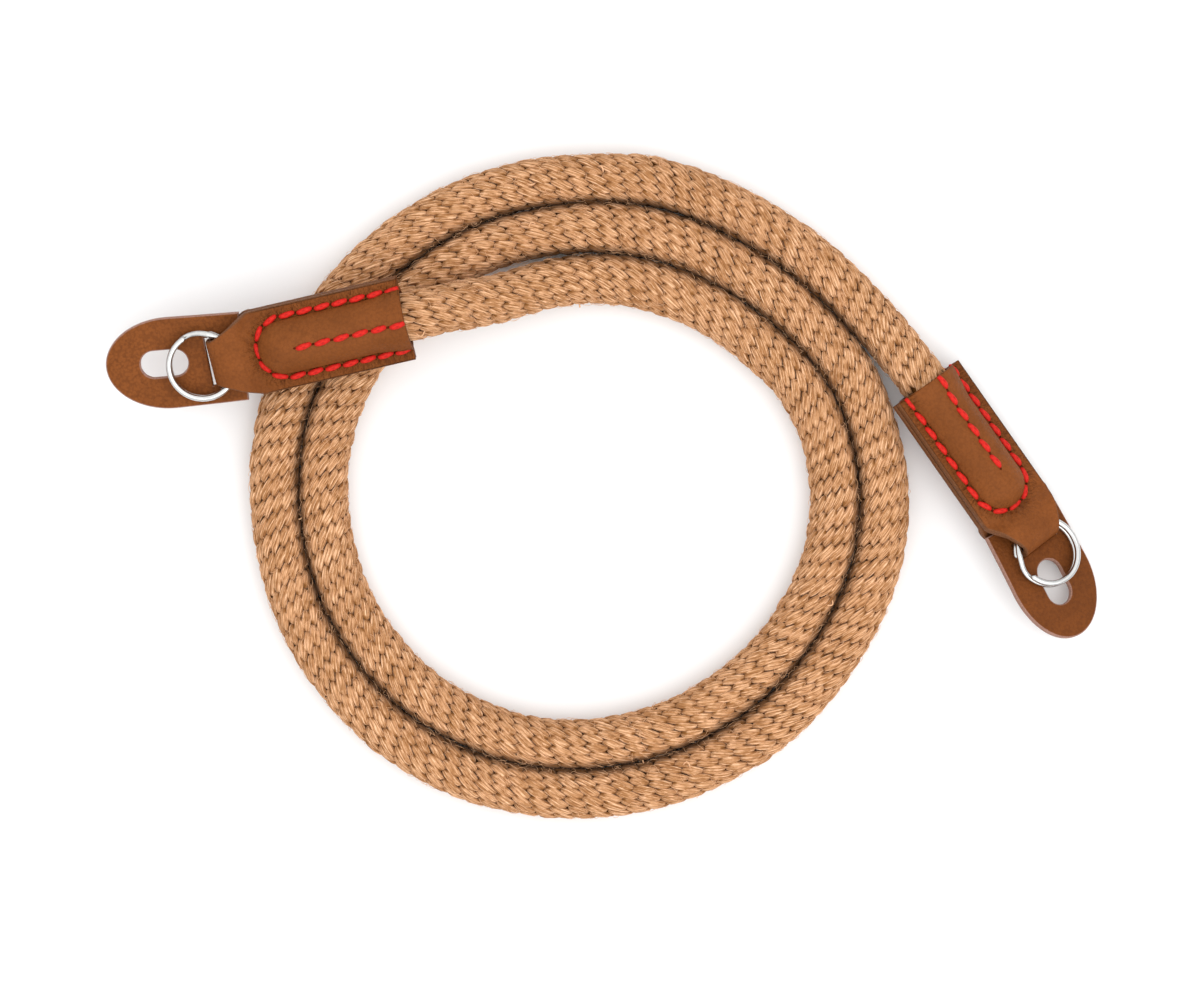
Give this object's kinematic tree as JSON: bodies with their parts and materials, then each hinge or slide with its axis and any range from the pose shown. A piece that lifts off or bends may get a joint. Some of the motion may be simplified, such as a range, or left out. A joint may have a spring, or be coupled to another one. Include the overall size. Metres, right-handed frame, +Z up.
{
  "type": "rope camera strap",
  "caption": "Braided rope camera strap in a loose coil; each end is sewn into a folded leather loop that holds a split ring and a slotted leather protector tab.",
  "frame": {"origin": "on the surface that the strap lies on, under the middle of its bounding box", "axes": "+Z up from the surface; +X from the left leather end towards the right one; +Y towards the far side of the coil"},
  "size_m": [0.2074, 0.1392, 0.0241],
  "materials": {
    "rope": "matte braided cotton",
    "end_leather": "fine pebbled grain, satin",
    "tab_leather": "fine pebbled grain, satin",
    "ring": "polished plating"
  },
  "bodies": {
    "root": {"rope": "rope", "leather_end_left": "end_leather", "leather_end_right": "end_leather", "protector_left": "tab_leather", "protector_right": "tab_leather", "split_ring_left": "ring", "split_ring_right": "ring"}
  },
  "joints": []
}
